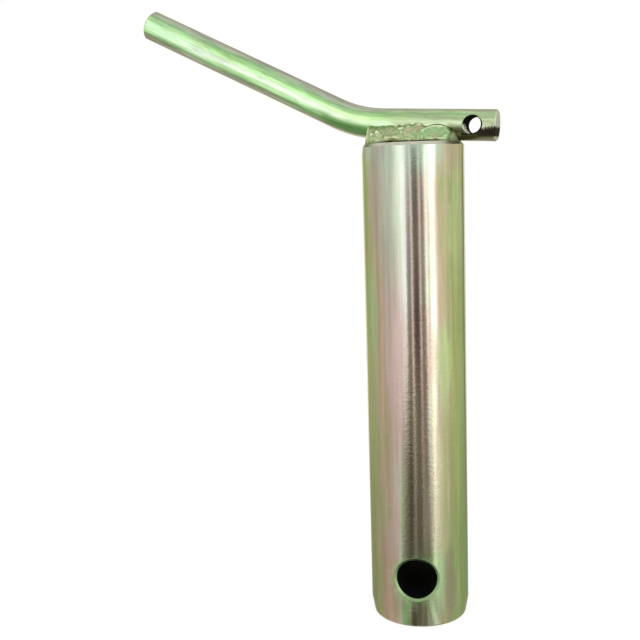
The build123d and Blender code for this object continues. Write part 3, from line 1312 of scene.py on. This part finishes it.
@dataclass
class WeldBead:
    """A fillet bead between the rod and the head: a row of pools, loose lumps and a dished crater.

    Sizes are millimetres. The ground corner's plane, set a little inside the shank's ground face,
    cuts its end off. grain and skin are the face sizes of its first, rough surface and its last one.
    """

    side: Side
    head_height: float = 152.0
    head_radius: float = 14.875
    root_gap: float = 0.4
    sink: float = 0.35
    grain: float = 0.26
    skin: float = 0.20
    corner: GroundCorner = GroundCorner(15.5, 147.0)
    pools: tuple[Lump, ...] = (
        Lump(-12.3, 3.9, 1.3, (2.6, 4.5, 4.5)),
        Lump(-10.4, 4.1, 0.9, (2.9, 4.8, 4.3)),
        Lump(-8.5, 4.2, 0.8, (3.4, 4.8, 4.6)),
        Lump(-6.0, 4.1, 0.7, (3.4, 5.1, 4.8)),
        Lump(-3.3, 4.2, 0.6, (3.4, 4.9, 4.9)),
        Lump(-0.6, 4.1, 0.5, (3.4, 5.2, 5.0)),
        Lump(2.0, 4.1, 0.5, (3.3, 4.9, 5.0)),
        Lump(4.2, 4.0, 0.5, (3.0, 4.6, 4.7)),
        Lump(8.6, 3.9, 0.6, (6.0, 5.4, 4.7)),
        Lump(12.2, 2.8, -0.4, (2.8, 4.4, 4.2)),
    )
    loose: tuple[Lump, ...] = (
        Lump(-12.2, 7.4, 2.3, (1.0, 0.9, 1.0)),
        Lump(-8.9, 8.0, 3.3, (0.9, 0.9, 0.8)),
        Lump(-10.6, 8.2, 2.7, (0.7, 0.7, 0.7)),
        Lump(-5.3, 9.0, 1.4, (1.8, 0.9, 1.0)),
        Lump(-6.9, 8.7, 0.8, (1.2, 0.8, 0.6)),
        Lump(-1.5, 7.5, 4.0, (1.3, 0.9, 0.7)),
        Lump(-3.3, 6.3, 4.6, (0.6, 0.8, 1.2)),
        Lump(3.3, 5.1, 5.2, (1.3, 0.9, 1.0)),
        Lump(-0.2, 5.2, 5.2, (1.0, 0.8, 0.8)),
        Lump(-3.2, 8.9, 1.6, (1.1, 0.7, 0.8)),
        Lump(0.6, 6.6, 4.4, (0.9, 0.8, 0.7)),
        Lump(9.8, 8.8, 0.9, (1.2, 0.9, 0.7)),
    )
    dishes: tuple[Lump, ...] = (Lump(8.0, 12.6, 6.6, (7.5, 6.4, 6.4)), Lump(11.6, 11.6, 5.6, (4.5, 5.6, 5.2)))

    @property
    def name(self) -> str:
        """Gives the CAD node's name."""
        return f"weld_bead_{self.side.name.lower()}"

    def start_lump(self) -> bpy.types.Object:
        """Makes the one round lump that every other is a copy of, a little flat underneath.

        Returns:
            The lump.
        """
        bpy.ops.object.select_all(action="DESELECT")
        bpy.ops.mesh.primitive_uv_sphere_add(segments=28, ring_count=16, radius=1.0)
        made = bpy.context.object
        pick_faces(made, lambda face: face.normal.z < -0.6)
        bpy.ops.transform.resize(value=(1.1, 1.1, 0.85))
        bpy.ops.object.mode_set(mode="OBJECT")
        return made

    def dish_crater(self, made: bpy.types.Object) -> None:
        """Hollows the crater where the weld stopped, with a crisp rim round it.

        Args:
            made: The bead.
        """
        for dish in self.dishes:
            bpy.ops.object.select_all(action="DESELECT")
            bpy.ops.mesh.primitive_uv_sphere_add(segments=96, ring_count=48, radius=1.0)
            hollow = bpy.context.object
            self.place_lump(hollow, dish)
            bpy.ops.object.transform_apply(location=True, rotation=True, scale=True)
            combine(made, hollow, "DIFFERENCE")

    def copy_lump(self, start: bpy.types.Object) -> bpy.types.Object:
        """Copies the lump where it is.

        Args:
            start: The lump to copy.

        Returns:
            The copy.
        """
        select_only(start)
        bpy.ops.object.duplicate(linked=False)
        return bpy.context.object

    def place_lump(self, made: bpy.types.Object, lump: Lump) -> None:
        """Gives a copy its place and size.

        Args:
            made: The copy.
            lump: Where it goes and how large it is.
        """
        made.location = (lump.along * MM, self.side.value * lump.out * MM, (self.head_height + lump.rise) * MM)
        made.scale = tuple(half * MM for half in lump.size)

    def fuse(self, made: bpy.types.Object, grain: float, rounds: int) -> None:
        """Melts a bead's surface into one skin and softens its edges.

        Args:
            made: The bead.
            grain: The size of the new faces.
            rounds: How often it is smoothed.
        """
        fuse = made.modifiers.new("fuse", "REMESH")
        fuse.mode, fuse.voxel_size = "VOXEL", grain * MM
        bpy.ops.object.modifier_apply(modifier=fuse.name)
        soften = made.modifiers.new("soften", "SMOOTH")
        soften.factor, soften.iterations = 0.5, rounds
        bpy.ops.object.modifier_apply(modifier=soften.name)

    def roughen(self, made: bpy.types.Object) -> None:
        """Fuses the lumps and roughens them, the crater least.

        Args:
            made: The joined lumps.
        """
        self.fuse(made, self.grain, 4)
        rough = made.vertex_groups.new(name="rough")
        for vertex in made.data.vertices:
            past = (vertex.co.x / MM - 3.0) / 2.0
            rough.add([vertex.index], 1.0 - 0.9 * min(max(past, 0.0), 1.0), "REPLACE")
        for title, scale, strength in (("blobs", 1.7, 0.45), ("spatter", 0.7, 0.30)):
            noise = bpy.data.textures.new(f"{self.name}_{title}", "CLOUDS")
            noise.noise_scale, noise.noise_depth = scale * MM, 2
            push = made.modifiers.new(title, "DISPLACE")
            push.texture, push.texture_coords = noise, "LOCAL"
            push.strength, push.mid_level, push.vertex_group = strength * MM, 0.55, rough.name
            bpy.ops.object.modifier_apply(modifier=push.name)

    def trim(self, made: bpy.types.Object) -> None:
        """Trims the bead to the head's circle, its root, the head's top and the ground corner.

        Args:
            made: The bead.
        """
        side = self.side.value
        cuts = (
            (Vector((0.0, side * self.root_gap * MM, 0.0)), Vector((0.0, -side, 0.0))),
            (Vector((0.0, 0.0, (self.head_height - self.sink) * MM)), Vector((0.0, 0.0, -1.0))),
            (self.corner.point * MM, self.corner.outward),
        )
        bpy.ops.object.select_all(action="DESELECT")
        bpy.ops.mesh.primitive_cylinder_add(
            vertices=128, radius=self.head_radius * MM, depth=30.0 * MM, location=(0.0, 0.0, self.head_height * MM)
        )
        room = bpy.context.object
        bpy.ops.object.transform_apply(location=True, rotation=True, scale=True)
        bpy.ops.object.mode_set(mode="EDIT")
        for place, outward in cuts:
            bpy.ops.mesh.select_all(action="SELECT")
            bpy.ops.mesh.bisect(plane_co=place, plane_no=outward, use_fill=True, clear_outer=True)
        bpy.ops.object.mode_set(mode="OBJECT")
        combine(made, room, "INTERSECT")

    def build(self, finish: bpy.types.Material) -> bpy.types.Object:
        """Builds the bead and puts it in its solid's place.

        Args:
            finish: Its material.

        Returns:
            The bead.
        """
        start = self.start_lump()
        lumps = (*self.pools, *self.loose)
        made = [self.copy_lump(start) for _ in lumps]
        for copy, lump in zip(made, lumps):
            self.place_lump(copy, lump)
        bpy.data.objects.remove(start)
        bpy.ops.object.select_all(action="DESELECT")
        for lump in made:
            lump.select_set(True)
        bead = made[0]
        bpy.context.view_layer.objects.active = bead
        bpy.ops.object.join()
        bpy.ops.object.transform_apply(location=True, rotation=True, scale=True)
        self.roughen(bead)
        self.dish_crater(bead)
        self.fuse(bead, self.skin, 1)
        self.trim(bead)
        self.fuse(bead, self.skin, 3)
        bpy.ops.object.shade_smooth_by_angle(angle=math.radians(50.0))
        bead.name = bead.data.name = self.name + "_metal"
        bead.data.materials.clear()
        bead.data.materials.append(finish)
        mark_crests(bead)
        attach(bead, "root")
        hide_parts(self.name)
        LOG.info("%s: %d faces", bead.name, len(bead.data.polygons))
        return bead


def select_only(made: bpy.types.Object) -> None:
    """Selects one object alone and makes it the active one.

    Args:
        made: The object.
    """
    bpy.ops.object.select_all(action="DESELECT")
    made.select_set(True)
    bpy.context.view_layer.objects.active = made


def combine(made: bpy.types.Object, other: bpy.types.Object, operation: str) -> None:
    """Cuts one closed object by another, which it uses up.

    Args:
        made: The object that is cut.
        other: The object that cuts it.
        operation: How they combine.
    """
    select_only(made)
    cut = made.modifiers.new("combine", "BOOLEAN")
    cut.operation, cut.object = operation, other
    bpy.ops.object.modifier_apply(modifier=cut.name)
    bpy.data.objects.remove(other)


def pick_faces(made: bpy.types.Object, wanted: Callable[[bpy.types.MeshPolygon], bool]) -> None:
    """Goes into edit mode with some faces selected.

    Args:
        made: The active object.
        wanted: Says whether a face is selected.
    """
    bpy.ops.object.mode_set(mode="EDIT")
    bpy.ops.mesh.select_mode(type="FACE")
    bpy.ops.mesh.select_all(action="DESELECT")
    bpy.ops.object.mode_set(mode="OBJECT")
    for face in made.data.polygons:
        face.select = wanted(face)
    bpy.ops.object.mode_set(mode="EDIT")


def mark_crests(made: bpy.types.Object) -> None:
    """Stores how far each point stands out from its neighbours, 0.5 where it is level.

    Args:
        made: The object.
    """
    mesh = made.data
    total = [0.0] * len(mesh.vertices)
    count = [0] * len(mesh.vertices)
    for edge in mesh.edges:
        first, second = (mesh.vertices[index] for index in edge.vertices)
        step = first.co - second.co
        for point, way in ((first, step), (second, -step)):
            total[point.index] += way.normalized().dot(point.normal)
            count[point.index] += 1
    level = [value / max(number, 1) for value, number in zip(total, count)]
    for _ in range(3):
        spread = list(level)
        for edge in mesh.edges:
            first, second = edge.vertices
            spread[first] += level[second]
            spread[second] += level[first]
        level = [value / (number + 1) for value, number in zip(spread, count)]
    crest = mesh.attributes.new("crest", "FLOAT", "POINT")
    for stored, value in zip(crest.data, level):
        stored.value = min(max(0.5 + 2.0 * value, 0.0), 1.0)


def dress(node: str, finish: bpy.types.Material) -> None:
    """Gives a solid's node its finish.

    Args:
        node: The node's name.
        finish: The finish.
    """
    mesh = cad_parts[node].data
    mesh.materials.clear()
    mesh.materials.append(finish)
    LOG.info("dressed %s with %s", node, finish.name)


def main() -> None:
    """Builds the studio, dresses every piece and reports each."""
    logging.basicConfig(level=logging.INFO, format="%(message)s")
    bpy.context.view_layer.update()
    Studio().build()
    effects = Effects()
    dress("shank", ShankZinc(effects).make("zinc_shank"))
    dress("handle_rod", RodZinc(effects).make("zinc_rod"))
    weld = WeldZinc(effects).make("zinc_weld")
    for side in Side:
        dress(f"weld_bead_{side.name.lower()}", weld)
        WeldBead(side).build(weld)


if __name__ == "__main__":
    main()
